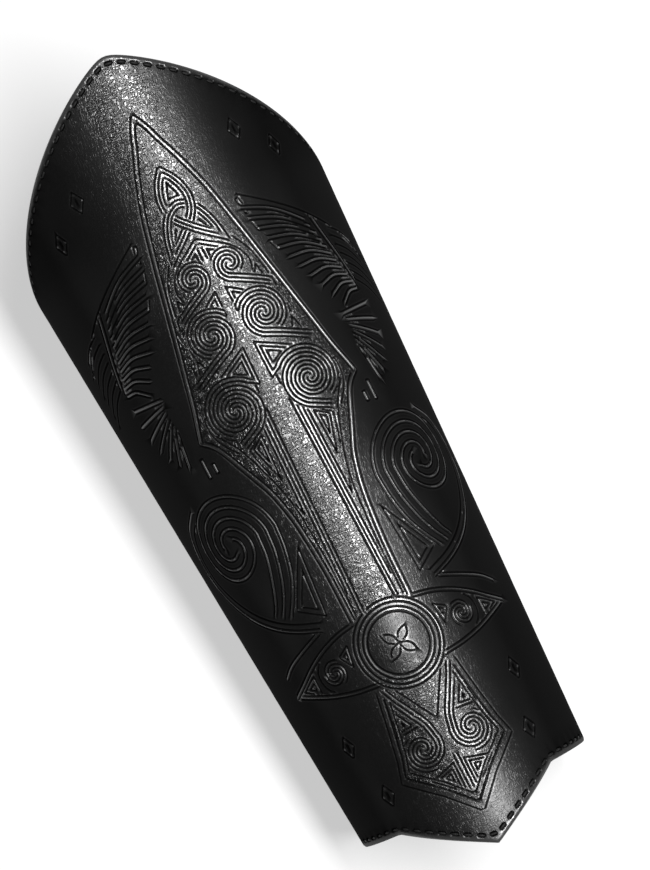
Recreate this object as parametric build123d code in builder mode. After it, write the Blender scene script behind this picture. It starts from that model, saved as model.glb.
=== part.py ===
"""Laced leather vambrace: a tapered forearm guard with a pointed elbow edge and a pointed wrist edge.

Millimetres, +Z up. The forearm runs along Y, with the elbow end at +Y and the wrist end at -Y.
The guard is open behind, where it is laced, and it lies on the free edges of its two lacing strips.
A place is a distance along the tube from the peak of the elbow edge towards the wrist.
A turn is an angle in degrees round the tube from the top, towards +X.
"""

import os
from math import atan, cos, radians, sin, sqrt, tan

from build123d import *

# The rolled tube
guard_length = 247.3
peak_radius = 49.2
point_radius = 34.8
cover_turn = 130.0
core_turn = 118.0
strip_start_turn = 119.5
lacing_turn = 155.0

# The sheets, from the outside in
cover_thickness = 1.2
core_thickness = 1.4
strip_thickness = 1.4
lining_thickness = 0.6
glue_gap = 0.1

# The elbow edge falls away from a rounded peak, to each side and further behind the arm
peak_turn = 5.5
peak_rounding_share = 0.055
elbow_side_share = 0.497
elbow_back_share = 0.547

# The wrist edge is a shallow point with a square cut beyond its corners
wrist_point_turn = -0.3
wrist_corner_turn = 42.5
wrist_point_depth = 13.8

# The sheets are rolled slightly askew, so both ends lie lower on the +X side
elbow_askew_angle = 3.5
wrist_askew_angle = 1.9

# The eyelets
eyelets_per_side = 4
eyelet_turn = 143.5
eyelet_end_inset = 14.0
bore_radius = 2.5
eyelet_wall = 0.4
eyelet_flange_radius = 4.5
eyelet_flange_thickness = 0.6
washer_radius = 4.4
washer_thickness = 0.8
punch_clearance = 0.1

# What a cut runs past the solid that it cuts, and the step at which an edge line is followed
overrun = 6.0
edge_step_turn = 34.0

taper = (peak_radius - point_radius) / guard_length
core_depth = cover_thickness + glue_gap
lining_depth = core_depth + core_thickness + glue_gap
wall_thickness = lining_depth + lining_thickness
edge_drop_share = -cos(radians(lacing_turn))
floor_lean = atan(taper * edge_drop_share)


def outer_radius(place):
    """Radius of the cover's outer face."""
    return peak_radius - taper * place


def tube_plane(origin):
    """Plane square to the tube's axis: x across, y up and z along the tube towards the wrist."""
    return Plane(origin=origin, x_dir=(1, 0, 0), z_dir=(0, -cos(floor_lean), -sin(floor_lean)))


# The strips' free edges lie on the ground, and the ends lie evenly about the origin
trial = tube_plane((0, 0, 0))
peak_end = trial.from_local_coords(Vector(0, outer_radius(0) - wall_thickness, 0))
point_end = trial.from_local_coords(Vector(0, outer_radius(guard_length), guard_length))
axis_height = (peak_radius - core_depth) * edge_drop_share * cos(floor_lean)
tube = tube_plane((0, -(peak_end.Y + point_end.Y) / 2, axis_height))
tube_axis = Axis(tube.origin, -tube.z_dir)


def radial_plane(turn):
    """Plane through the tube's axis: x outwards at this turn and y along the tube."""
    angle = radians(turn)
    outwards = tube.x_dir * sin(angle) + tube.y_dir * cos(angle)
    across = tube.x_dir * cos(angle) - tube.y_dir * sin(angle)
    return Plane(origin=tube.origin, x_dir=outwards, z_dir=across)


def elbow_place(turn):
    """Where the elbow edge lies at this turn."""
    angle = radians(turn - peak_turn)
    rounded = sqrt(sin(angle) ** 2 + peak_rounding_share**2) - peak_rounding_share
    skew = sin(angle) * tan(radians(elbow_askew_angle))
    back = (1 - cos(angle)) * elbow_back_share
    return peak_radius * (rounded * elbow_side_share + skew + back)


def wrist_place(turn):
    """Where the wrist edge lies at this turn."""
    from_point = min(abs(turn - wrist_point_turn) / wrist_corner_turn, 1)
    skew = point_radius * sin(radians(turn)) * tan(radians(wrist_askew_angle))
    return guard_length - wrist_point_depth * from_point + skew


def sheet_section(depth, thickness):
    """Corners of a sheet's section: its outer face lies at this depth under the cover's."""
    top = outer_radius(-overrun) - depth
    bottom = outer_radius(guard_length + overrun) - depth
    return [
        (top, -overrun),
        (bottom, guard_length + overrun),
        (bottom - thickness, guard_length + overrun),
        (top - thickness, -overrun),
    ]


def end_trims(corner_turns, edge_place, far_place):
    """Blocks from an edge line outwards, one between each two corners, cut square to the sheets."""
    inside = point_radius - wall_thickness - overrun
    outside = peak_radius + overrun
    limits = [-lacing_turn - edge_step_turn / 2, *corner_turns, lacing_turn + edge_step_turn / 2]
    trims = []
    for start, end in zip(limits, limits[1:]):
        steps = max(2, round((end - start) / edge_step_turn))
        with BuildPart() as trim:
            for step in range(steps + 1):
                turn = start + (end - start) * step / steps
                place = edge_place(turn)
                with BuildSketch(radial_plane(turn)):
                    with BuildLine():
                        Polyline(
                            (inside, far_place), (outside, far_place), (outside, place), (inside, place), close=True
                        )
                    make_face()
            loft()
        trims.append(trim.part)
    return trims


wrist_corners = [wrist_point_turn - wrist_corner_turn, wrist_point_turn, wrist_point_turn + wrist_corner_turn]
trims = end_trims([peak_turn], elbow_place, -2 * overrun)
trims += end_trims(wrist_corners, wrist_place, guard_length + 2 * overrun)

# Outer cover, one sheet of leather from one side of the lacing to the other
with BuildPart() as cover:
    with BuildSketch(radial_plane(-cover_turn)):
        with BuildLine():
            Polyline(*sheet_section(0, cover_thickness), close=True)
        make_face()
    revolve(axis=tube_axis, revolution_arc=2 * cover_turn)
    add(trims, mode=Mode.SUBTRACT)
cover.part.label = "cover"
export_targets = [cover]

# Stiffening core, glued between the cover and the lining and sewn in at both ends
with BuildPart() as core:
    with BuildSketch(radial_plane(-core_turn)):
        with BuildLine():
            Polyline(*sheet_section(core_depth, core_thickness), close=True)
        make_face()
    revolve(axis=tube_axis, revolution_arc=2 * core_turn)
    add(trims, mode=Mode.SUBTRACT)
core.part.label = "core"
export_targets.append(core)

# Lining against the arm
with BuildPart() as lining:
    with BuildSketch(radial_plane(-cover_turn)):
        with BuildLine():
            Polyline(*sheet_section(lining_depth, lining_thickness), close=True)
        make_face()
    revolve(axis=tube_axis, revolution_arc=2 * cover_turn)
    add(trims, mode=Mode.SUBTRACT)
lining.part.label = "lining"
export_targets.append(lining)


def eyelet_seat(side, index):
    """Plane on the strip's outer face at an eyelet, with z straight out of the leather."""
    first = max(elbow_place(lacing_turn), elbow_place(-lacing_turn)) + eyelet_end_inset
    last = min(wrist_place(lacing_turn), wrist_place(-lacing_turn)) - eyelet_end_inset
    place = first + (last - first) * index / (eyelets_per_side - 1)
    across = radial_plane(side * eyelet_turn)
    origin = across.from_local_coords(Vector(outer_radius(place) - core_depth, place, 0))
    return Plane(origin=origin, x_dir=across.z_dir, z_dir=across.x_dir + across.y_dir * taper)


# A flat washer in the hollow of the strip meets it at its rim, so it lies this much further in
barrel_radius = bore_radius + eyelet_wall
strip_hollow_radius = outer_radius(guard_length) - core_depth - strip_thickness
washer_dip = strip_hollow_radius - sqrt(strip_hollow_radius**2 - washer_radius**2)
washer_seat = strip_thickness + washer_dip
barrel_end = washer_seat + washer_thickness

# Brass eyelet: a flange outside, a barrel and the washer inside that its end is clenched over
with BuildPart() as eyelet:
    with BuildSketch(Plane.XZ):
        with BuildLine():
            Polyline(
                (bore_radius, eyelet_flange_thickness),
                (eyelet_flange_radius, eyelet_flange_thickness),
                (eyelet_flange_radius, 0),
                (barrel_radius, 0),
                (barrel_radius, -washer_seat),
                (washer_radius, -washer_seat),
                (washer_radius, -barrel_end),
                (bore_radius, -barrel_end),
                close=True,
            )
        make_face()
    revolve(axis=Axis.Z)

for side_name, side in (("left", -1), ("right", 1)):
    seats = [eyelet_seat(side, index) for index in range(eyelets_per_side)]

    # Lacing strip, sewn in between the cover and the lining and punched for the eyelets
    with BuildPart() as strip:
        with BuildSketch(radial_plane(min(side * strip_start_turn, side * lacing_turn))):
            with BuildLine():
                Polyline(*sheet_section(core_depth, strip_thickness), close=True)
            make_face()
        revolve(axis=tube_axis, revolution_arc=lacing_turn - strip_start_turn)
        add(trims, mode=Mode.SUBTRACT)
        with Locations(*seats):
            Hole(radius=barrel_radius + punch_clearance, depth=2 * strip_thickness)
    strip.part.label = f"lacing_strip_{side_name}"
    export_targets.append(strip)

    # One eyelet in each punched hole
    with BuildPart() as eyelets:
        with Locations(*seats):
            add(eyelet.part)
    eyelets.part.label = f"eyelets_{side_name}"
    export_targets.append(eyelets)

os.makedirs("parts", exist_ok=True)
for piece in export_targets:
    export_step(piece.part, f"parts/{piece.part.label}.step")
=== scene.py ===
"""Laced leather vambrace, lying on its lacing edges and seen from above, as in the photograph."""

import math

import bpy
from mathutils import Matrix, Vector, geometry, kdtree


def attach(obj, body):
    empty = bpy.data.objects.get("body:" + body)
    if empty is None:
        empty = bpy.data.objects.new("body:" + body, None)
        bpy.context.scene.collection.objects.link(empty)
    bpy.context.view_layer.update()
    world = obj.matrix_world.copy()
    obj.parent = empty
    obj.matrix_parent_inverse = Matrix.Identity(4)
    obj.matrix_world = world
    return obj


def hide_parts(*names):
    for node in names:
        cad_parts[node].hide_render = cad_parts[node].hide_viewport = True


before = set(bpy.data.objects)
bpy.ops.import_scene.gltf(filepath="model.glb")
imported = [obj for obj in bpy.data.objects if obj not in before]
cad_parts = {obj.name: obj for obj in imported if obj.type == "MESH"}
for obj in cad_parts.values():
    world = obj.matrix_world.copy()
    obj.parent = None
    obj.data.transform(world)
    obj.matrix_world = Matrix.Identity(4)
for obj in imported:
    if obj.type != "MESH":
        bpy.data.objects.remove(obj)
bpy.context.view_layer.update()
bpy.ops.object.select_all(action="DESELECT")
scene = bpy.context.scene
scene.view_settings.view_transform = "Standard"

# Camera: almost straight above the guard, a long lens, turned so that the guard lies across the
# frame from the upper left to the lower right. The frame is 650 by 870.
camera_lean = math.radians(5.96)
camera_swing = math.radians(-0.09)
camera_roll = math.radians(27.73)
camera_distance = 1.0769
camera_target = Vector((0.0101, 0.0025, 0.06))
frame_height = 0.2491
film_size = 36.0


def setting(place, side, ahead, up):
    """Sets a thing at a place, with its own x, y and z axes along these."""
    return Matrix.Translation(place) @ Matrix((side, ahead, up)).transposed().to_4x4()


camera_data = bpy.data.cameras.new("camera")
camera_data.sensor_width = film_size
camera_data.lens = film_size * camera_distance / frame_height
camera = bpy.data.objects.new("camera", camera_data)
scene.collection.objects.link(camera)
view_back = Vector((math.tan(camera_swing), -math.tan(camera_lean), 1)).normalized()
view_up = Vector((math.sin(camera_roll), math.cos(camera_roll), 0))
view_up = (view_up - view_back * view_up.dot(view_back)).normalized()
camera_place = camera_target + view_back * camera_distance
camera.matrix_world = setting(camera_place, view_up.cross(view_back), view_up, view_back)
scene.camera = camera

# Studio: a plain pale floor under the guard, a soft lamp along the guard's back and weak soft
# light all round. The floor is white where it is looked at and where it is mirrored, and elsewhere
# it is dull, so that it throws little light back under the guard.
floor_size = 12.0
floor_greys = (0.44, 0.46)
floor_glow = 0.56
floor_dull_grey = 0.03
lamp_place = Vector((0.345, -0.15, 1.28))
lamp_size = (0.21, 0.74)
lamp_power = 22.0
room_light = 0.035


class Value:
    """A shader's socket. Sums, differences and products of it become Math nodes."""

    def __init__(self, shader, socket):
        self.shader = shader
        self.socket = socket

    def maths(self, operation, *others):
        return self.shader.node("ShaderNodeMath", {"operation": operation}, self, *others)["Value"]

    def __add__(self, other):
        return self.maths("ADD", other)

    def __radd__(self, other):
        return self + other

    def __sub__(self, other):
        return self.maths("SUBTRACT", other)

    def __rsub__(self, other):
        return self * -1 + other

    def __mul__(self, other):
        return self.maths("MULTIPLY", other)

    def __rmul__(self, other):
        return self * other

    def ramp(self, low, high):
        """A smooth step from 0 to 1 between two values."""
        settings = {"interpolation_type": "SMOOTHSTEP"}
        return self.shader.node("ShaderNodeMapRange", settings, self, low, high)["Result"]


class Shader:
    """A material. Its nodes are made by node, which gives their outputs by name."""

    def __init__(self, name, **sockets):
        self.material = bpy.data.materials.new(name)
        self.material.use_nodes = True
        self.tree = self.material.node_tree
        self.surface = self.tree.nodes["Principled BSDF"]
        for socket, value in sockets.items():
            self.surface.inputs[socket.replace("_", " ")].default_value = value

    def node(self, kind, settings, *values, **named):
        made = self.tree.nodes.new(kind)
        for name, value in settings.items():
            setattr(made, name, value)
        inputs = list(enumerate(values)) + [(name.replace("_", " "), named[name]) for name in named]
        for key, value in inputs:
            if isinstance(value, Value):
                self.tree.links.new(value.socket, made.inputs[key])
            elif value is not None:
                made.inputs[key].default_value = value
        return {output.identifier: Value(self, output) for output in made.outputs}

    def mix(self, factor, first, second):
        """A colour between two. The node's colours come after five sockets for other kinds."""
        colours = [None] * 5 + [first, second]
        return self.node("ShaderNodeMix", {"data_type": "RGBA"}, factor, *colours)["Result_Color"]

    def bump(self, height, distance, strength=1.0):
        made = self.node("ShaderNodeBump", {}, Height=height, Distance=distance, Strength=strength)
        return made["Normal"]

    def place(self):
        """A point's place in the piece's own metres."""
        return self.node("ShaderNodeTexCoord", {})["Object"]

    def noise(self, place, scale, detail, distortion=0.0):
        settings = {"Scale": scale, "Detail": detail, "Distortion": distortion}
        return self.node("ShaderNodeTexNoise", {}, Vector=place, **settings)["Fac"]

    def feed(self, **sockets):
        """Links values to the surface's own sockets."""
        for name, value in sockets.items():
            self.tree.links.new(value.socket, self.surface.inputs[name.replace("_", " ")])


def grey(level):
    return (level, level, level, 1.0)


bpy.ops.mesh.primitive_plane_add(size=floor_size)
floor = bpy.context.object
floor.name = "floor"
floor_paint = Shader("floor_paint", Roughness=0.9, Specular_IOR_Level=0.0, Emission_Strength=1.0)
ray = floor_paint.node("ShaderNodeLightPath", {})
looked_at = ray["Is Camera Ray"] + ray["Is Glossy Ray"] + ray["Is Transmission Ray"]
speckle = floor_paint.node("ShaderNodeTexNoise", {}, Scale=30.0)["Fac"]
pale = floor_paint.mix(speckle, grey(floor_greys[0]), grey(floor_greys[1]))
floor_paint.feed(
    Base_Color=floor_paint.mix(looked_at, grey(floor_dull_grey), pale),
    Emission_Color=floor_paint.mix(looked_at, grey(0.0), grey(floor_glow)),
)
floor.data.materials.append(floor_paint.material)

lamp_data = bpy.data.lights.new("soft_lamp", "AREA")
lamp_data.shape = "RECTANGLE"
lamp_data.size, lamp_data.size_y = lamp_size
lamp_data.energy = lamp_power
lamp = bpy.data.objects.new("soft_lamp", lamp_data)
scene.collection.objects.link(lamp)
lamp_back = lamp_place.normalized()
lamp_across = Vector((0, 1, 0)).cross(lamp_back).normalized()
lamp.matrix_world = setting(lamp_place, lamp_across, lamp_back.cross(lamp_across), lamp_back)
room = bpy.data.worlds.new("room")
scene.world = room
room.use_nodes = True
room.node_tree.nodes["Background"].inputs["Color"].default_value = grey(1.0)
room.node_tree.nodes["Background"].inputs["Strength"].default_value = room_light

# Cover: one sheet of black leather, rolled into a tapering tube and cut to a rounded peak at the
# elbow and a shallow point at the wrist. It is glued over the core and sewn round all its edges.
# Across is mm round the tube from its top, and along is mm from the peak towards the wrist.
mm = 0.001
guard_length = 247.3
peak_radius = 49.2
point_radius = 34.8
cover_thickness = 1.2
core_depth = 1.3
wall_thickness = 3.4
cover_turn = math.radians(130)
lacing_turn = math.radians(155)
peak_turn = math.radians(5.5)
peak_rounding_share = 0.055
elbow_side_share = 0.497
elbow_back_share = 0.547
elbow_askew_angle = math.radians(3.5)
wrist_point_degrees = -0.3
wrist_corner_degrees = 42.5
wrist_point_depth = 13.8
wrist_askew_angle = math.radians(1.9)
edge_samples = 720
edge_step = 1.4

taper = (peak_radius - point_radius) / guard_length
tube_lean = math.atan(-taper * math.cos(lacing_turn))
tube_ahead = Vector((0, -math.cos(tube_lean), -math.sin(tube_lean)))
tube_up = Vector((0, -math.sin(tube_lean), math.cos(tube_lean)))
tube_side = Vector((1, 0, 0))
tube_height = -(peak_radius - core_depth) * math.cos(lacing_turn) * math.cos(tube_lean)

# The guard's two ends lie evenly about the middle
peak_end = -math.sin(tube_lean) * (peak_radius - wall_thickness)
point_end = -math.sin(tube_lean) * point_radius - math.cos(tube_lean) * guard_length
tube_start = Vector((0, -(peak_end + point_end) / 2, tube_height))


def outer_radius(along):
    return peak_radius - taper * along


def on_guard(across, along, depth=0.0):
    """A point in metres, this deep in the sheets."""
    radius = outer_radius(along)
    turn = across / radius
    out = tube_side * math.sin(turn) + tube_up * math.cos(turn)
    return (tube_start + tube_ahead * along + out * (radius - depth)) * mm


def elbow_edge(turn):
    """How far along the elbow edge lies at this turn."""
    angle = turn - peak_turn
    rounded = math.sqrt(math.sin(angle) ** 2 + peak_rounding_share**2) - peak_rounding_share
    skew = math.sin(angle) * math.tan(elbow_askew_angle)
    return peak_radius * (rounded * elbow_side_share + skew + (1 - math.cos(angle)) * elbow_back_share)


def wrist_edge(turn):
    """How far along the wrist edge lies at this turn."""
    from_point = min(abs(math.degrees(turn) - wrist_point_degrees) / wrist_corner_degrees, 1)
    skew = point_radius * math.sin(turn) * math.tan(wrist_askew_angle)
    return guard_length - wrist_point_depth * from_point + skew


def inside_outline(across, along):
    turn = across / outer_radius(along)
    return abs(turn) < cover_turn and elbow_edge(turn) < along < wrist_edge(turn)


def part_way(start, end, share):
    """The point this share of the way from one point to another."""
    return tuple(a + (b - a) * share for a, b in zip(start, end))


def evenly(points, step):
    """The same line with points spaced evenly, about a step apart."""
    lengths = [0.0]
    for start, end in zip(points, points[1:]):
        lengths.append(lengths[-1] + math.dist(start, end))
    count = max(1, round(lengths[-1] / step))
    spaced = []
    index = 0
    for number in range(count + 1):
        place = lengths[-1] * number / count
        while index < len(points) - 2 and lengths[index + 1] < place:
            index += 1
        span = lengths[index + 1] - lengths[index] or 1
        spaced.append(part_way(points[index], points[index + 1], min(1, (place - lengths[index]) / span)))
    return spaced


def beside(points, offset, closed=False):
    """A line beside this one, to the right of its direction where the offset is positive."""
    moved = []
    last = len(points) - 1
    for index, (x, y) in enumerate(points):
        before = points[index - 1] if index or closed else points[index]
        after = points[(index + 1) % len(points)] if index < last or closed else points[index]
        dx, dy = after[0] - before[0], after[1] - before[1]
        size = math.hypot(dx, dy) or 1
        moved.append((x - dy / size * offset, y + dx / size * offset))
    return moved


def edge_line(edge):
    """Evenly spaced flat points along an end of the guard, from left to right."""
    turns = [cover_turn * (2 * index / edge_samples - 1) for index in range(edge_samples + 1)]
    return evenly([(turn * outer_radius(edge(turn)), edge(turn)) for turn in turns], edge_step)


elbow_line = edge_line(elbow_edge)
wrist_line = edge_line(wrist_edge)[::-1]
right_line = evenly([elbow_line[-1], wrist_line[0]], edge_step)
left_line = evenly([wrist_line[-1], elbow_line[0]], edge_step)
outline = elbow_line[:-1] + right_line[:-1] + wrist_line[:-1] + left_line[:-1]

# Tooling on the cover: a spear-shaped figure from the elbow to the wrist, between side spirals,
# fans and lens panels, all pressed into the damp leather on both sides of one centre line.
# Sideways and down are mm from that line, which runs a little askew from the peak to the wrist.
centre_at_peak = 4.4
centre_drift = -0.0175
figure_skew = 0.03
line_step = 0.32
pitch = 1.08
line_clear = 0.6
centre_clear = 0.3
shortest_line = 1.3
curve_steps = 8
arc_step = 6
spiral_steps = 50
scroll_eye = 0.75
scroll_step = 5
scroll_turned = 1400
least_key = 0.12
bar_half = 0.55

# Each tool presses a line of its own half width and depth, in mm
fine_tool = (0.26, 0.42)
faint_tool = (0.26, 0.2)
border_tool = (0.28, 0.42)
shaft_tool = (0.34, 0.42)
bold_tool = (0.36, 0.5)
rib_tool = (0.27, 0.38)
stop_tool = (0.4, 0.4)
dot_tool = (0.45, 0.4)
grooves = []
pressed_spots = {}


def on_figure(sideways, down):
    """The flat place on the cover of a point of the figure."""
    along = down + figure_skew * sideways
    return sideways + centre_at_peak + centre_drift * down, along


def square_of(spot, size):
    """The square of a grid that a spot lies in."""
    return math.floor(spot[0] / size), math.floor(spot[1] / size)


def squares_near(spot, size):
    """That square and the eight round it."""
    column, row = square_of(spot, size)
    return [(column + x, row + y) for x in (-1, 0, 1) for y in (-1, 0, 1)]


def groove(points, tool=fine_tool, both=True):
    """Presses a line, on both sides of the centre line. It stops short of any earlier line."""
    for hand in (1, -1) if both else (1,):
        runs = [[]]
        for sideways, down in evenly(points, line_step):
            spot = on_figure(hand * sideways, down)
            near = [pressed_spots.get(square, ()) for square in squares_near(spot, line_clear)]
            taken = any(math.dist(spot, other) < line_clear for others in near for other in others)
            if taken or (both and sideways < centre_clear):
                runs.append([])
            else:
                runs[-1].append(spot)
        for run in runs:
            if len(run) * line_step > shortest_line:
                grooves.append((run, *tool))
                for spot in run:
                    pressed_spots.setdefault(square_of(spot, line_clear), []).append(spot)


def parallel(points, offsets, tool=fine_tool):
    for offset in offsets:
        groove(beside(points, offset), tool)


def curve(points):
    """A smooth line through the points."""
    before = tuple(2 * a - b for a, b in zip(points[0], points[1]))
    after = tuple(2 * a - b for a, b in zip(points[-1], points[-2]))
    guides = [before, *points, after]
    traced = []
    for p0, p1, p2, p3 in zip(guides, guides[1:], guides[2:], guides[3:]):
        for step in range(curve_steps):
            t = step / curve_steps
            traced.append(tuple(
                0.5 * (
                    2 * b
                    + (c - a) * t
                    + (2 * a - 5 * b + 4 * c - d) * t**2
                    + (3 * b - a - 3 * c + d) * t**3
                )
                for a, b, c, d in zip(p0, p1, p2, p3)
            ))
    return traced + [points[-1]]


def bowed(start, end, rise):
    """A shallow curve between two points, its middle raised towards the elbow."""
    return curve([start, ((start[0] + end[0]) / 2, (start[1] + end[1]) / 2 - rise), end])


def swung(centre, radius, angle):
    """The point at this radius from a centre, its angle from sideways towards down."""
    return centre[0] + radius * math.cos(angle), centre[1] + radius * math.sin(angle)


def arc(centre, radius, start, end):
    """Part of a ring, between two angles in degrees."""
    steps = max(4, round(abs(end - start) / arc_step))
    angles = [math.radians(start + (end - start) * step / steps) for step in range(steps + 1)]
    return [swung(centre, radius, angle) for angle in angles]


def spiral(centre, inner, outer, spacing, start):
    """One arm from the outside in. It starts at an angle in degrees and narrows by a spacing a turn."""
    turns = (outer - inner) / spacing
    steps = max(8, round(turns * spiral_steps))
    line = []
    for step in range(steps + 1):
        share = step / steps
        angle = math.radians(start) + share * turns * 2 * math.pi
        line.append(swung(centre, outer + (inner - outer) * share, angle))
    return line


def wound_scroll(centre, outer, spacing, band, wrap_count, wrap_reach, joint=117, hand=1):
    """Three arms that wind in from the end of a band, and lines that wrap the scroll's outer side."""
    loss = 3 * spacing / 360

    def wound(first, last, start_radius):
        line = []
        for turned in range(first, last, scroll_step):
            radius = start_radius - loss * turned
            if radius > scroll_eye:
                line.append(swung(centre, radius, math.radians(joint + hand * turned)))
        return line

    for arm in range(3):
        wind = wound(0, scroll_turned, outer - arm * spacing)
        groove(curve(beside(band, hand * arm * spacing) + wind))
    for wrap in range(1, wrap_count + 1):
        groove(curve(wound(*wrap_reach, outer + wrap * spacing)))


def keys(corners, count, spacing=pitch):
    """Triangles, one inside the other."""
    sides = [math.dist(corners[(i + 1) % 3], corners[(i + 2) % 3]) for i in range(3)]
    middle = [
        sum(side * corner[axis] for side, corner in zip(sides, corners)) / sum(sides)
        for axis in (0, 1)
    ]
    (x0, y0), (x1, y1), (x2, y2) = corners
    inner_radius = abs((x1 - x0) * (y2 - y0) - (x2 - x0) * (y1 - y0)) / sum(sides)
    for number in range(count):
        share = 1 - number * spacing / inner_radius
        if share > least_key:
            ring = [part_way(middle, corner, share) for corner in corners]
            groove(ring + [ring[0]])


# The spear's blade, with a doubled border from the tip to the shoulders
blade_edge = curve([
    (0, 19), (1.9, 22.5), (3.7, 27.4), (5.9, 32.8), (7.7, 37.8), (9.5, 43.2), (10.9, 48.2),
    (12.4, 54.6), (13.9, 61.1), (15.3, 67.5), (17.1, 75.5), (18.9, 83.4), (20.8, 91.4),
    (22.7, 99.3), (24.9, 106.3), (25.8, 109.2),
])
parallel(blade_edge, (0.7, -0.7), border_tool)
neck_edge = curve([
    (25.8, 109.2), (22.8, 111.7), (20.6, 114.9), (18, 120.4), (15.4, 126), (13.4, 130.6),
    (11.9, 136), (10.9, 141), (10.2, 147), (9.7, 153), (9.3, 160), (9.1, 173),
])
parallel(neck_edge, (0.7, -0.7), border_tool)
groove(curve([
    (20.4, 109.5), (18, 112.6), (15.9, 115.8), (13.9, 120.4), (11.9, 126), (10.2, 131.7),
    (8.9, 138), (8.3, 144.7), (7.9, 152), (7.6, 160), (7.5, 172.5),
]))

# The knot of three loops under the tip: three bands, each over one neighbour and under the other.
# Two bands meet at each loop's tip, on either side of the loop's axis.
knot_band = 1.1
knot_cover = 1.6
knot_crossing_reach = 3.5
loop_reach = 5
loop_overrun = 2.8
loop_clear = 0.3
side_band = [
    (0, 36), (2.2, 39), (3.6, 42.5), (3.9, 46), (2.8, 49.6), (0, 52.9), (-3.4, 56), (-7.8, 59.4),
]
over_band = [
    (-7.8, 59.4), (-7.0, 55), (-5.4, 50.8), (-3.2, 47.8), (0, 46.4), (3.2, 47.8), (5.4, 50.8),
    (7.0, 55), (7.8, 59.4),
]
knot_bands = [side_band, [(-x, y) for x, y in side_band], over_band]
knot_crossings = ((0, 53), (-3.4, 48), (3.4, 48))
loop_axes = {(0, 36): (0, -1), (7.8, 59.4): (0.52, 0.85), (-7.8, 59.4): (-0.52, 0.85)}


def beyond(start, end):
    """A point past the end of a straight run."""
    return part_way(start, end, 1 + loop_overrun / math.dist(start, end))


def off_axis(tip, place):
    """How far a place lies to one side of a loop's axis."""
    return loop_axes[tip][0] * (place[1] - tip[1]) - loop_axes[tip][1] * (place[0] - tip[0])


def knot_shows(place, band, crossed):
    """Whether a band is on top at this place, and on its own side of the loops at its ends."""
    if any(math.dist(place, other) <= knot_cover for other in crossed):
        return False
    for tip, inner in ((band[0], band[1]), (band[-1], band[-2])):
        hand = math.copysign(1, off_axis(tip, inner))
        if math.dist(place, tip) < loop_reach and hand * off_axis(tip, place) <= loop_clear:
            return False
    return True


for number, band in enumerate(knot_bands):
    line = evenly(curve([beyond(band[1], band[0]), *band, beyond(band[-2], band[-1])]), line_step)
    crossed = [
        place for place in evenly(curve(knot_bands[(number + 1) % 3]), line_step)
        if math.dist(place, knot_crossings[number]) < knot_crossing_reach
    ]
    for offset in (-knot_band, 0, knot_band):
        runs = [[]]
        for place in beside(line, offset):
            if knot_shows(place, band, crossed):
                runs[-1].append(place)
            else:
                runs.append([])
        for run in runs:
            if len(run) > 1:
                groove(run, both=False)
groove([(0, 39.5), (1.6, 44.1), (-1.6, 44.1), (0, 39.5)], both=False)
groove([(0, 41.9), (0, 43.0)], stop_tool, both=False)
groove([(3.6, 52.6), (5.2, 55.4)], stop_tool)

# Three pairs of scrolls down the blade. A band of three lines runs into each from below and winds
# to its middle, further lines wrap its outer side, and keys fill the corners between.
groove(curve([(0, 57.2), (3.8, 59.7), (7.8, 62.4), (10.6, 65.6), (11.6, 68.8), (11.1, 71.6)]))
wound_scroll((5.75, 67.5), 5.2, 1.15, [(13.6, 77.5), (11.5, 76.3), (7.5, 74.2)], 1, (98, 303))
wound_scroll((8.2, 84.1), 6.9, 1.2, [(17.2, 96.0), (14, 94.4), (9.7, 92.3)], 2, (101, 308))
wound_scroll((11.9, 105.9), 8.8, 1.22, [(13.6, 116.5), (10.8, 115.2)], 2, (108, 308))
groove(curve([(0, 58.6), (3.4, 60.9), (7.2, 63.2)]))
groove([(0.7, 60.4), (0.7, 63.7)])
keys([(1.8, 61.2), (1.8, 64.2), (4.6, 62.9)], 2, spacing=1.0)
keys([(10.7, 73.4), (12.6, 70.6), (13.7, 76.2)], 2, spacing=0.9)
keys([(1.6, 73.0), (1.7, 80.6), (8.6, 77.6)], 3)
keys([(13.9, 91.0), (15.3, 88.2), (17.2, 94.8)], 2)
keys([(1.7, 90.4), (1.9, 101.8), (12.2, 96.0)], 4)
groove(curve([(14.4, 80.2), (15.6, 84), (15.6, 87)]))
shoulder_curve = curve([
    (16.4, 97.4), (19.4, 100.4), (21.4, 104.6), (21.3, 109), (19.6, 112.8), (16.8, 116.4),
])
parallel(shoulder_curve, (0, pitch))
keys([(6.9, 113.4), (13.4, 117.6), (7.5, 140.6)], 1)
keys([(8.3, 115.0), (12.2, 117.6), (8.9, 128.5)], 2, spacing=0.95)
parallel(curve([(9.4, 61.2), (12.2, 66), (13.8, 72), (14.8, 78)]), (-0.7,))

# The bare grained shaft, with three close lines on each side
shaft_edge = curve([(3.3, 101.5), (3.6, 112), (4.0, 130), (4.5, 155), (4.9, 172)])
groove(shaft_edge, shaft_tool)
parallel(shaft_edge, (-pitch,))
groove(curve([(5.9, 113), (6.2, 130), (6.6, 150), (7.1, 172)]))

# The medallion where the shaft meets the kite: rings about a domed field with a four-petal flower
medallion = (0, 184.3)
ring_depth = 0.45
petal_radius = 5.6
petal_bulge = 1.25
petal_steps = 12
for radius, half in ((13.1, 0.3), (11.75, 0.34), (10.35, 0.32), (9.05, 0.4)):
    groove(arc(medallion, radius, 0, 360), (half, ring_depth), both=False)
for quarter in range(4):
    for bend in (-1, 1):
        tip = math.radians(45 + 90 * quarter)
        line = []
        for step in range(petal_steps + 1):
            share = step / petal_steps
            bulge = bend * petal_bulge * math.sin(math.pi * share)
            x, y = swung(medallion, petal_radius * share, tip)
            line.append((x - bulge * math.sin(tip), y + bulge * math.cos(tip)))
        groove(line, rib_tool, both=False)

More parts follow.
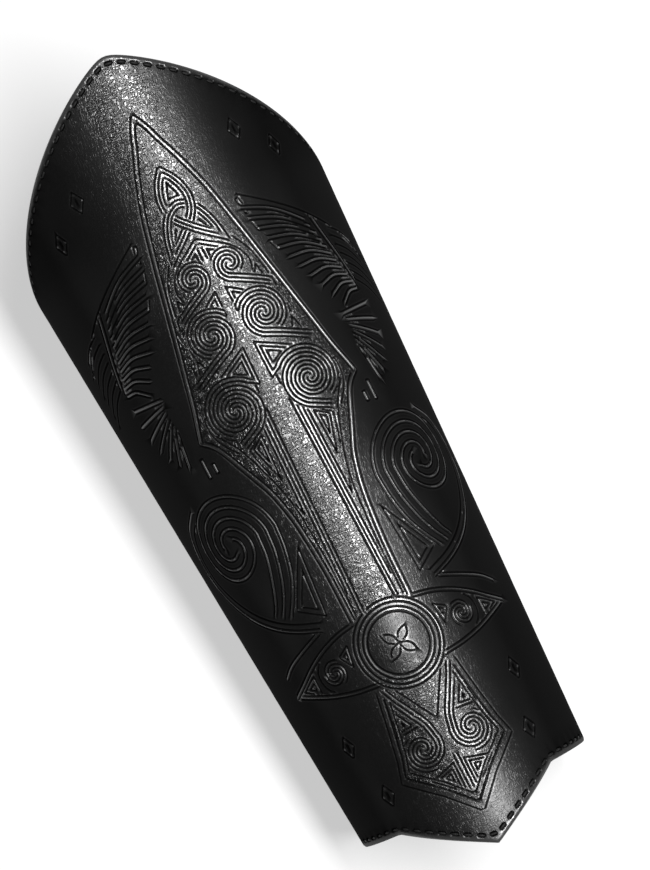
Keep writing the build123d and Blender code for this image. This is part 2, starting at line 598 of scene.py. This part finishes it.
# The kite below it, with a pair of scrolls and keys inside a doubled border
kite_line = [
    (11.2, 191.5), (12.0, 196), (13.8, 206.6), (15.4, 214.5), (17.2, 220.2), (7.8, 227.9), (0, 236),
]
kite_middle = 210
kite_half = 17.2
kite_border_share = 1.25
for offset, tool in ((0.85, bold_tool), (2.2, fine_tool), (-0.75, faint_tool)):
    shrink = (kite_half - kite_border_share * offset) / kite_half
    groove([(x * shrink, kite_middle + (y - kite_middle) * shrink) for x, y in kite_line[1:]], tool)
kite_band = [(9.6, 194.8), (7.8, 198.4), (5.2, 203), (2.7, 207.6)]
wound_scroll((7.7, 214.4), 6.5, 1.2, kite_band, 1, (95, 260), joint=200, hand=-1)
groove(curve([(7.4, 195.6), (5.0, 199.6), (2.5, 203.8), (0.2, 207.8)]))
keys([(11.0, 198.6), (12.6, 208.6), (5.6, 207.8)], 3)
groove([(0.6, 219.6), (0.6, 231.4)])
keys([(1.7, 221.4), (1.7, 230.6), (9.6, 223.6)], 3, spacing=1.0)

# Lens panels beside the medallion, each with a small scroll of three arms between two keys
lens_middle = (21, 184.3)
lens_top = curve([(9.4, 174), (15, 175), (21, 177.1), (27, 180), (33, 183.4), (38.5, 186)])
lens_low = curve([(10.5, 192.6), (17, 191.9), (24, 190.4), (31, 188.3), (38.5, 186)])
parallel(lens_top, (0.5, -0.6))
parallel(lens_low, (0.5, -0.6))
for start in (0, 120, 240):
    groove(spiral(lens_middle, 0.5, 4.0, 3 * pitch, start))
groove(arc(lens_middle, 5.5, -58, 62))
keys([(28.2, 182.4), (34.2, 185.6), (28.2, 188.2)], 2)
keys([(13.8, 178.6), (17.6, 180.8), (14.8, 185)], 2, spacing=0.9)

# Great side spirals, whose bands sweep down and inwards to a barbed end by the lens panels
side_centre = (33.3, 139.2)
side_radius = 16.8
side_eye = 2.6
side_spacing = 3.2
for number in range(3):
    reach = side_radius - number * side_spacing
    line = spiral(side_centre, side_eye, reach, 3 * side_spacing, 180)
    tail = curve([
        (side_centre[0] - reach, side_centre[1]), (side_centre[0] - reach + 0.7, 146.5),
        (19.2 + number * 3.4, 154.2), (22.2 + number * 3.2, 160),
        (25.4 + number * 2.4, 164.6 - number * 1.2),
    ])
    for offset in (-0.5, 0.5):
        groove(beside(line, offset))
        groove(beside(tail, offset))
outer_tail = curve([
    (42, 125.4), (48.6, 130.5), (51.8, 138.5), (50.9, 146.5), (46.6, 153.6), (40.3, 160.3),
    (34, 165), (27, 168.6), (18.6, 171.6),
])
parallel(outer_tail, (-0.5, 0.5, 2.2))
parallel(curve([(18.6, 171.6), (27, 174.6), (34, 177.2), (39, 180)]), (-0.5, 0.5))
keys([(13.4, 147.5), (15.1, 168.6), (22.8, 163.8)], 2, spacing=1.5)

# Feathered fans beside the blade: ribs that open out from a slanting root, a row of shorter ribs
# behind them, and a smaller fan below
rib_count = 11
short_rib_count = 7
for number in range(rib_count):
    share = number / (rib_count - 1)
    root = (16.6 + 17 * share**1.4, 54 + 36 * share)
    end = (34.6 + 8.2 * share, 63.5 + 23.5 * share)
    parallel(bowed(root, end, 1.2), (0, 1.25), rib_tool)
for number in range(short_rib_count):
    share = number / (short_rib_count - 1)
    root = (43 + 1.5 * share, 68 + 17 * share)
    end = (54 + 2 * share, 74 + 19 * share)
    groove(bowed(root, end, 0.8), rib_tool)
groove(curve([(16.8, 50.4), (26, 56), (35.8, 62), (46, 69), (56, 78)]), rib_tool)
parallel(curve([(36.6, 63), (38.2, 69), (41, 78), (43.4, 87)]), (0, -1.4), rib_tool)


def bar(first, last):
    """A narrow raised bar with a pressed line all round it."""
    ring = beside([first, last], bar_half) + beside([last, first], bar_half)
    groove(ring + [ring[0]])


bar((16.4, 51.6), (17.4, 56.6))
bar((17.4, 58.4), (18.9, 63))
bar((19.3, 64.8), (21.4, 69))
for number in range(short_rib_count):
    share = number / (short_rib_count - 1)
    angle = math.radians(-4 + 84 * share)
    hub = (28 + 3 * share, 93.5 + 7 * share)
    line = [swung(hub, reach, angle) for reach in (3.0, 15.5 - 2 * share)]
    parallel(line, (0.6, -0.6), rib_tool)

# Stamped lozenges on the bare leather beside the tip and below the lens panels
for across, down in ((26, 33), (37.5, 41), (29, 205), (24, 222)):
    lozenge = [(across, down - 3.4), (across + 2.3, down), (across, down + 3.4), (across - 2.3, down)]
    groove(lozenge + [lozenge[0]])
    groove([(across, down - 0.8), (across, down + 0.8)], dot_tool)

# Short raised bars by the shoulders
bar((25.2, 115.8), (25.2, 119))
bar((28.2, 113.2), (28.2, 119.4))

# Seam pits: each stitch is drawn tight and lies in a short pit that it presses into the leather.
# A row of them runs inside each end, and another inside each side, where the strips are sewn in.
seam_inset = 1.9
side_seam_inset = 4.2
seam_end_points = 4
stitch_pitch = 3.8
pit_half = 0.68
pit_depth = 0.6
pit_share = 0.34
seams = []
for line, inset in (
    (elbow_line, seam_inset), (right_line, side_seam_inset),
    (wrist_line, seam_inset), (left_line, side_seam_inset),
):
    seams.append(evenly(beside(line, inset)[seam_end_points:-seam_end_points], stitch_pitch))
pits = []
for seam in seams:
    for start, end in zip(seam, seam[1:]):
        first = part_way(start, end, 0.5 - pit_share / 2)
        last = part_way(start, end, 0.5 + pit_share / 2)
        pits.append((evenly([first, last], line_step), pit_half, pit_depth))
grooves += pits

# Relief of the pressed sheet. A line has a rounded floor and throws up a lip on each side, which
# stands higher on the flanks and next to another line. The medallion is domed, and the rim rounded.
outline_step = 0.35
dome_radius = 8.8
dome_height = 0.6
rim_width = 1.0
rim_drop = 0.32
lip_height = 0.035
flank_lip_height = 0.2
lip_width = 0.22
crest = 0.54
ridge_reach = 0.9
opposite_share = -0.3
lone_lip = 0.35
lone_lip_loss = 0.23

# Gloss, painted shade and grain over the sheet. A fade has the value where it starts and how much further
# it goes.
floor_to_lip = (0.2, 0.95)
floor_to_gloss = (1, 0.45)
figure_fade = (0, 1.5)
elbow_zone = 62
elbow_fade = (0, 20)
flank_fade = (0.3, 0.6)
raised_fade = (0.25, 0.35)
under_fade = (1.3, 0.7)
lone_ridge_fade = (0.5, 0.35)
elbow_gloss_middle = 4
elbow_gloss_fade = (6, 8)
wrist_fade = (168, 30)
rim_grain_fade = (0.9, 1.2)
rim_gloss_fade = (1.0, 0.6)
back_gloss = 0.84
# Painted shade: how far the flanks fall to the darker matte leather as they turn away from the light
# above
flank_painted_shade = 0.77
under_gloss_gain = 0.2
# Painted shade: how far the elbow's sides, off the middle where the highlight falls, fall to the darker
# matte leather
elbow_side_painted_shade = 0.6
field_gloss_loss = 0.4
dome_gloss = 0.75
ridge_gloss_loss = 0.42
wrist_gloss_loss = 0.16
rim_gloss = 0.95
rim_gloss_loss = 0.7
lone_ridge = 0.3
lone_ridge_loss = 0.25
least_grain = 0.6
ridge_grain_loss = 0.75
full_grain_gloss = 0.76


def point_tree(points):
    """Finds the nearest of many flat points."""
    tree = kdtree.KDTree(len(points))
    for index, (across, along) in enumerate(points):
        tree.insert((across, along, 0), index)
    tree.balance()
    return tree


line_tree = point_tree([spot for points, _, _ in grooves for spot in points])
line_of = [(half, depth) for points, half, depth in grooves for _ in points]
edge_tree = point_tree(evenly(outline + [outline[0]], outline_step))


def from_line(across, along):
    return line_tree.find((across, along, 0))[2]


def from_edge(across, along):
    return edge_tree.find((across, along, 0))[2]


def fade(value, start, width):
    """0 up to the start, 1 from a width further on, and smooth between."""
    share = min(max((value - start) / width, 0), 1)
    return share * share * (3 - 2 * share)


def figure_place(across, along):
    """How far sideways and down the figure a flat place on the cover lies."""
    down = along
    for _ in range(3):
        sideways = across - centre_at_peak - centre_drift * down
        down = along - figure_skew * sideways
    return sideways, down


def half_width(line, down):
    """How far the figure's edge lies from its centre line."""
    for (x0, y0), (x1, y1) in zip(line, line[1:]):
        if y0 <= down <= y1:
            return x0 + (x1 - x0) * (down - y0) / ((y1 - y0) or 1)
    return 0


def between_lines(across, along, nearest, distance):
    """Whether a place lies on a ridge, with a line close by on either side of it."""
    for other, _, reach in line_tree.find_range((across, along, 0), ridge_reach):
        agreement = (other.x - across) * (nearest.x - across) + (other.y - along) * (nearest.y - along)
        if agreement < opposite_share * reach * distance:
            return True
    return False


def relief(across, along):
    """Height over the plain tube in mm, the share of waxed leather against the painted shade, distance
    from the edge, and how much grain shows.
    """
    sideways, down = figure_place(across, along)
    figure_half = max(half_width(line, down) for line in (blade_edge, neck_edge, kite_line))
    in_figure = fade(figure_half - abs(sideways), *figure_fade)
    at_elbow = fade(elbow_zone - along, *elbow_fade)
    from_medallion = math.hypot(sideways - medallion[0], down - medallion[1])
    on_dome = from_medallion < dome_radius
    nearest, index, distance = line_tree.find((across, along, 0))
    half, depth = line_of[index]
    on_ridge = between_lines(across, along, nearest, distance)
    edge_distance = from_edge(across, along)
    turn = abs(across / outer_radius(along))
    flank = fade(turn, *flank_fade)
    raised = fade(turn, *raised_fade)

    height = dome_height * (1 - (from_medallion / dome_radius) ** 2) if on_dome else 0
    height -= (1 - fade(distance / half, *floor_to_lip)) * depth
    lip = lip_height + (flank_lip_height - lip_height) * raised
    lip *= 1 if on_ridge else lone_lip - lone_lip_loss * raised
    height += lip * math.exp(-(((distance - crest) / lip_width) ** 2))
    if edge_distance < rim_width:
        height -= rim_drop * (1 - edge_distance / rim_width) ** 2

    ridge = 1
    if not on_ridge:
        ridge = (lone_ridge - lone_ridge_loss * raised) * (1 - fade(distance, *lone_ridge_fade))
    # Painted shade on the flanks: the plain leather's share of wax falls with the turn from the top, so
    # the sides take the darker matte leather
    plain = back_gloss - flank_painted_shade * flank + under_gloss_gain * fade(turn, *under_fade)
    # Painted shade at the elbow: off the middle, where the highlight falls, the darker matte leather
    # shows
    off_middle = fade(abs(across - elbow_gloss_middle), *elbow_gloss_fade)
    plain *= 1 - elbow_side_painted_shade * off_middle * at_elbow
    plain *= 1 - field_gloss_loss * (1 - in_figure) * (1 - at_elbow)
    plain *= dome_gloss if on_dome else 1
    shiny = 1 - ridge_gloss_loss * flank
    # Painted shade at the floors of the pressed lines: there the darker matte leather is mixed in
    polish_and_painted_shade = fade(distance / half, *floor_to_gloss) * (plain + (shiny - plain) * ridge)
    polish_and_painted_shade *= 1 - wrist_gloss_loss * fade(along, *wrist_fade)
    rim_polish = (rim_gloss - rim_gloss_loss * flank) * (1 - fade(edge_distance, *rim_gloss_fade))

    grain = 1 if on_dome else max(least_grain, in_figure, at_elbow)
    grain *= (1 - ridge_grain_loss * ridge) * min(1, plain / full_grain_gloss) ** 2
    grain *= fade(edge_distance, *rim_grain_fade)
    return height, max(polish_and_painted_shade, rim_polish), edge_distance, grain


# The pressed sheet as a mesh. Its points lie along each line's floor and lips, and sparser between
# them, and the back of the sheet is plain.
least_gap = 0.085
rim_insets = (0.3, 0.7, 1.15, 1.7)
least_inset_share = 0.9
wide_half = 0.5
wall_share = 1.15
wall_top = 0.09
least_wall_share = 0.7
outer_row = 0.95
pit_end_top = 0.15
fill_step = 3.2
fill_line_clear = 0.8
fill_edge_clear = 4.2
back_step = 6.0
back_columns = 20
back_edge_clear = 3
finish_at_back = (0.0, 9.0, 0.0)
spots = []
spot_at = {}


def add_spot(across, along):
    """Adds a point of the mesh, unless one lies there already."""
    spot = (across, along)
    near = [spot_at[square] for square in squares_near(spot, least_gap) if square in spot_at]
    if all(math.dist(other, spot) >= least_gap for other in near):
        spot_at[square_of(spot, least_gap)] = spot
        spots.append(spot)


def add_rows(points, offset, least_distance):
    """Adds points on both sides of a line, where they lie this far from every line."""
    for spot in beside(points, offset)[::2] + beside(points, -offset)[::2]:
        if inside_outline(*spot) and from_line(*spot) >= least_distance:
            add_spot(*spot)


for spot in outline:
    add_spot(*spot)
outline_count = len(spots)
for inset in rim_insets:
    for spot in beside(outline, inset, closed=True):
        if inside_outline(*spot) and from_edge(*spot) > inset * least_inset_share:
            add_spot(*spot)
for points, half, _ in grooves:
    floor_row = half * 0.5 if half > wide_half else 0
    for offset in (floor_row, half * wall_share, half * wall_share + wall_top):
        add_rows(points, offset, offset * least_wall_share)
for offset, slack in ((crest, 0.06), (outer_row, 0.15)):
    for points, _, _ in grooves:
        add_rows(points, offset, offset - slack)
for points, half, _ in pits:
    for inner, end in ((points[1], points[0]), (points[-2], points[-1])):
        facing = math.atan2(end[1] - inner[1], end[0] - inner[0])
        for swing in (-60, 0, 60):
            for reach in (half * 0.5, half * wall_share, half * wall_share + pit_end_top):
                add_spot(*swung(end, reach, facing + math.radians(swing)))
for row in range(int(guard_length / fill_step) + 4):
    along = row * fill_step
    limit = int(cover_turn * outer_radius(along) / fill_step) + 1
    for column in range(-limit, limit + 1):
        across = (column + 0.5 * (row % 2)) * fill_step
        clear = from_line(across, along) > fill_line_clear and inside_outline(across, along)
        if clear and from_edge(across, along) > fill_edge_clear:
            add_spot(across, along)

ring = [(index, (index + 1) % outline_count) for index in range(outline_count)]


def sheet_faces(spots, outwards, first):
    """Triangles between flat spots inside the outline, with their corners numbered from the first."""
    places = [Vector(spot) for spot in spots]
    flat, _, triangles, _, _, _ = geometry.delaunay_2d_cdt(places, ring, [], 1, 1e-5)
    faces = []
    for a, b, c in triangles:
        clockwise = (flat[b] - flat[a]).cross(flat[c] - flat[a]) < 0
        if clockwise != outwards:
            b, c = c, b
        faces.append((first + a, first + b, first + c))
    return flat, faces


flat, faces = sheet_faces(spots, True, 0)
front_count = len(flat)
cover_points = []
finish = {"polish_and_painted_shade": [], "rim": [], "worked": []}
for across, along in flat:
    height, *levels = relief(across, along)
    cover_points.append(on_guard(across, along, -height))
    for values, level in zip(finish.values(), levels):
        values.append(level)
back_spots = list(flat[:outline_count])
for row in range(int(guard_length / back_step) + 2):
    for column in range(-back_columns, back_columns + 1):
        across, along = column * back_step, row * back_step
        if inside_outline(across, along) and from_edge(across, along) > back_edge_clear:
            back_spots.append((across, along))
back_flat, back_faces = sheet_faces(back_spots, False, front_count)
for across, along in back_flat:
    cover_points.append(on_guard(across, along, cover_thickness))
edge_faces = [(a, b, front_count + b, front_count + a) for a, b in ring]

cover_mesh = bpy.data.meshes.new("cover_leather")
cover_mesh.from_pydata(cover_points, [], faces + back_faces + edge_faces)
for (name, values), at_back in zip(finish.items(), finish_at_back):
    layer = cover_mesh.attributes.new(name, "FLOAT", "POINT")
    layer.data.foreach_set("value", values + [at_back] * len(back_flat))
cover_mesh.validate()
cover = bpy.data.objects.new("cover_leather", cover_mesh)
scene.collection.objects.link(cover)
cover_mesh.shade_smooth()

# Finish of the cover: dyed black and waxed. It is polished along the back and on the ridges, and grained
# where the leather was worked but not rubbed. A darker matte copy of the leather is mixed in as painted
# shade: on the flanks, where they turn away from the light above, on the elbow's sides, at the floors
# of the pressed lines and in the grain's creases.
grain_slants = (-8, 84)
grain_size = (1 / 1350, 1 / 360, 1 / 1000)
dye_dark = grey(0.004)
dye_light = grey(0.008)
worn_rim = grey(0.05)
# The darker matte copy's colour is painted shade
painted_shade_leather = grey(0.002)
leather = Shader("embossed_leather", IOR=1.75, Specular_IOR_Level=1.0)
leather_place = leather.place()
polish_and_painted_shade = leather.node("ShaderNodeAttribute", {"attribute_name": "polish_and_painted_shade"})["Fac"]
rim = leather.node("ShaderNodeAttribute", {"attribute_name": "rim"})["Fac"]
worked = leather.node("ShaderNodeAttribute", {"attribute_name": "worked"})["Fac"]
blotch = leather.noise(leather_place, 60.0, 2.0)
pore = leather.noise(leather_place, 2600.0, 2.0)
creases = []
for slant in grain_slants:
    turned = leather.node(
        "ShaderNodeMapping", {"vector_type": "TEXTURE"},
        Vector=leather_place, Rotation=(0, 0, math.radians(slant)), Scale=grain_size,
    )["Vector"]
    wander = leather.noise(turned, 1.0, 1.0, distortion=0.3)
    creases.append((wander - 0.5).maths("ABSOLUTE").ramp(0.01, 0.1))
pebble = creases[0] * creases[1]
dyed = leather.mix(blotch, dye_dark, dye_light)
leather.feed(
    Base_Color=leather.mix((1 - rim.ramp(0.5, 2.0)) * 0.8, dyed, worn_rim),
    Roughness=0.41 + blotch * 0.06 - polish_and_painted_shade * 0.16,
    Normal=leather.bump((pebble + pore * 0.2) * worked, 0.00012, strength=0.8),
)
# Painted shade in the grain's creases: there too the darker matte leather is mixed in, as on the flanks
# and at the floors of the pressed lines
gloss = polish_and_painted_shade * (1 - (1 - pebble) * worked * 0.66)
matte = leather.node(
    "ShaderNodeBsdfPrincipled", {}, Base_Color=painted_shade_leather, Roughness=0.75, Specular_IOR_Level=0.0
)["BSDF"]
waxed = Value(leather, leather.surface.outputs["BSDF"])
finished = leather.node("ShaderNodeMixShader", {}, gloss, matte, waxed)["Shader"]
leather.tree.links.new(finished.socket, leather.tree.nodes["Material Output"].inputs["Surface"])
cover_mesh.materials.append(leather.material)
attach(cover, "root")
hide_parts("cover")

# Core: a sheet of leatherboard that keeps the guard's shape. It is cut to the same two ends as the
# cover, glued to the cover's back and sewn in with it, and shows only as an edge at both ends.
board_dark = grey(0.006)
board_light = (0.03, 0.022, 0.016, 1)
board = Shader("leatherboard", Specular_IOR_Level=0.3)
board_fleck = board.noise(board.place(), 1400.0, 4.0)
board.feed(
    Base_Color=board.mix(board_fleck, board_dark, board_light),
    Roughness=0.7 + board_fleck * 0.2,
    Normal=board.bump(board_fleck, 0.0002),
)


def finish_node(name, shader):
    """Gives a node of the model its material."""
    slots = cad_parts[name].material_slots
    for slot in slots:
        slot.material = shader.material
    if not slots:
        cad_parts[name].data.materials.append(shader.material)


finish_node("core", board)

# Lining: a plain weave of napped black cotton, glued to the core's back and sewn in round the edge.
# Weft runs round the arm and warp along it, so the weave follows the turn about the tube's axis.
# The pitch of the threads and the tube's mean radius are in metres, as a place on the piece is.
thread_pitch = 0.0007
cloth_radius = 0.04
cloth_dark = grey(0.004)
cloth_light = (0.034, 0.031, 0.029, 1)
cloth = Shader("lining_cloth", Specular_IOR_Level=0.2, Sheen_Weight=0.15, Sheen_Roughness=0.5)
cloth_place = cloth.place()
cloth_at = cloth.node("ShaderNodeSeparateXYZ", {}, cloth_place)
axis_height = (tube_height + tube_start.y * math.tan(tube_lean)) * mm
above_axis = cloth_at["Z"] - axis_height + cloth_at["Y"] * -math.tan(tube_lean)
warp_turn = cloth_at["X"].maths("ARCTAN2", above_axis)
warp = (warp_turn * (math.pi * cloth_radius / thread_pitch)).maths("SINE")
weft = (cloth_at["Y"] * (math.pi / thread_pitch)).maths("SINE")
warp_over = (warp * weft).ramp(-0.15, 0.15)
weave = warp.maths("ABSOLUTE") * warp_over + weft.maths("ABSOLUTE") * (1 - warp_over)
slub = cloth.noise(cloth_place, 300.0, 3.0)
cloth.feed(
    Base_Color=cloth.mix(weave * 0.7 + slub * 0.3, cloth_dark, cloth_light),
    Roughness=0.8 + slub * 0.15,
    Normal=cloth.bump(weave, 0.00015),
)
finish_node("lining", cloth)

# Lacing strips: plain smooth black leather that carries the eyelets. Each is sewn in under one of
# the cover's side edges, between cover and lining, and the guard lies on their free edges.
strip_dark = grey(0.005)
strip_light = grey(0.012)
strip = Shader("plain_leather", Specular_IOR_Level=0.6)
strip_place = strip.place()
strip_grain = strip.node("ShaderNodeTexVoronoi", {}, Vector=strip_place, Scale=1000.0)["Distance"]
strip_blotch = strip.noise(strip_place, 70.0, 2.0)
strip.feed(
    Base_Color=strip.mix(strip_blotch, strip_dark, strip_light),
    Roughness=0.42 + strip_blotch * 0.16,
    Normal=strip.bump(strip_grain, 0.00012),
)
finish_node("lacing_strip_left", strip)
finish_node("lacing_strip_right", strip)

# Eyelets: pressed from brass, a crowned flange outside and a clenched washer inside. One is shaped
# from a ring and then set square to the leather at each punched hole. The section gives radius and
# height over the leather, in mm.
eyelets_per_side = 4
eyelet_turn = math.radians(143.5)
eyelet_end_inset = 14.0
eyelet_sides = 32
eyelet_section = (
    (2.5, -2.4), (2.5, 0.1), (2.62, 0.45), (2.95, 0.66), (3.5, 0.68), (4.1, 0.5), (4.45, 0.18),
    (4.5, 0.02), (2.9, 0.0), (2.9, -1.62), (4.3, -1.64), (4.4, -2.0), (4.1, -2.38), (3.3, -2.42),
)
brass_bright = (0.62, 0.42, 0.17, 1)
brass_dull = (0.34, 0.22, 0.09, 1)
brass = Shader("eyelet_brass", Metallic=1.0)
tarnish = brass.noise(brass.place(), 500.0, 3.0)
brass.feed(
    Base_Color=brass.mix(tarnish, brass_bright, brass_dull),
    Roughness=0.22 + tarnish * 0.2,
    Normal=brass.bump(tarnish, 0.00002),
)
start_radius, start_height = eyelet_section[0]
bpy.ops.mesh.primitive_circle_add(
    vertices=eyelet_sides, radius=start_radius * mm, location=(0, 0, start_height * mm)
)
eyelet = bpy.context.object
bpy.ops.object.transform_apply(location=True, rotation=True, scale=True)
bpy.ops.object.mode_set(mode="EDIT")
bpy.ops.mesh.select_all(action="SELECT")
for (last_radius, last_height), (radius, height) in zip(eyelet_section, eyelet_section[1:]):
    rise = (0, 0, (height - last_height) * mm)
    bpy.ops.mesh.extrude_region_move(TRANSFORM_OT_translate={"value": rise})
    share = radius / last_radius
    bpy.ops.transform.resize(value=(share, share, 1), center_override=(0, 0, height * mm))
bpy.ops.mesh.select_all(action="DESELECT")
bpy.ops.mesh.select_mode(type="EDGE")
bpy.ops.mesh.select_non_manifold()
bpy.ops.mesh.bridge_edge_loops()
bpy.ops.mesh.select_all(action="SELECT")
bpy.ops.mesh.normals_make_consistent(inside=False)
bpy.ops.object.mode_set(mode="OBJECT")
eyelet.data.shade_smooth()
eyelet.data.materials.append(brass.material)
first = max(elbow_edge(lacing_turn), elbow_edge(-lacing_turn)) + eyelet_end_inset
last = min(wrist_edge(lacing_turn), wrist_edge(-lacing_turn)) - eyelet_end_inset
for side_name, side in (("left", -1), ("right", 1)):
    turn = side * eyelet_turn
    outwards = tube_side * math.sin(turn) + tube_up * math.cos(turn)
    out = (outwards + tube_ahead * taper).normalized()
    beside_hole = tube_side * math.cos(turn) - tube_up * math.sin(turn)
    for number in range(eyelets_per_side):
        along = first + (last - first) * number / (eyelets_per_side - 1)
        seat = (tube_start + tube_ahead * along + outwards * (outer_radius(along) - core_depth)) * mm
        copy = bpy.data.objects.new(f"eyelet_{side_name}_{number + 1}", eyelet.data.copy())
        copy.data.transform(setting(seat, beside_hole, out.cross(beside_hole), out))
        scene.collection.objects.link(copy)
        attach(copy, "root")
        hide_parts(f"eyelets_{side_name}")
bpy.data.objects.remove(eyelet)

# Seams: waxed black thread that sews cover, core and lining together along both ends, and the
# lacing strips in along both sides. It lies in the pits outside and flat on the lining inside.
stitch_length = 2.4
thread_radius = 0.42
thread_flatness = 0.8
outer_thread_depth = pit_depth - 0.15
inner_thread_depth = wall_thickness + 0.02
thread_dark = grey(0.004)
thread_light = grey(0.016)
thread = Shader("waxed_thread", Specular_IOR_Level=0.25)
strand = thread.noise(thread.place(), 2500.0, 2.0)
thread.feed(
    Base_Color=thread.mix(strand, thread_dark, thread_light),
    Roughness=0.5 + strand * 0.2,
    Normal=thread.bump(strand, 0.0001),
)
bpy.ops.object.select_all(action="DESELECT")
bpy.ops.mesh.primitive_uv_sphere_add(
    segments=8, ring_count=6, radius=thread_radius * mm, rotation=(0, math.pi / 2, 0)
)
stitch = bpy.context.object
bpy.ops.object.transform_apply(location=True, rotation=True, scale=True)
bpy.ops.object.mode_set(mode="EDIT")
bpy.ops.mesh.select_all(action="SELECT")
stretch = (stitch_length / 2 / thread_radius, 1, thread_flatness)
bpy.ops.transform.resize(value=stretch, center_override=(0, 0, 0))
bpy.ops.object.mode_set(mode="OBJECT")
stitch_points = [vertex.co.copy() for vertex in stitch.data.vertices]
stitch_faces = [tuple(face.vertices) for face in stitch.data.polygons]
bpy.data.objects.remove(stitch)
thread_points = []
thread_faces = []
for seam in seams:
    for start, end in zip(seam, seam[1:]):
        middle = ((start[0] + end[0]) / 2, (start[1] + end[1]) / 2)
        for depth in (outer_thread_depth, inner_thread_depth):
            run = (on_guard(*end, depth) - on_guard(*start, depth)).normalized()
            out = (on_guard(*middle, depth - 1) - on_guard(*middle, depth)).normalized()
            set_stitch = setting(on_guard(*middle, depth), run, out.cross(run), out)
            count = len(thread_points)
            thread_faces += [tuple(corner + count for corner in face) for face in stitch_faces]
            thread_points += [set_stitch @ point for point in stitch_points]
thread_mesh = bpy.data.meshes.new("seam_thread")
thread_mesh.from_pydata(thread_points, [], thread_faces)
thread_mesh.shade_smooth()
thread_mesh.materials.append(thread.material)
seam_thread = bpy.data.objects.new("seam_thread", thread_mesh)
scene.collection.objects.link(seam_thread)
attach(seam_thread, "root")

bpy.context.view_layer.update()
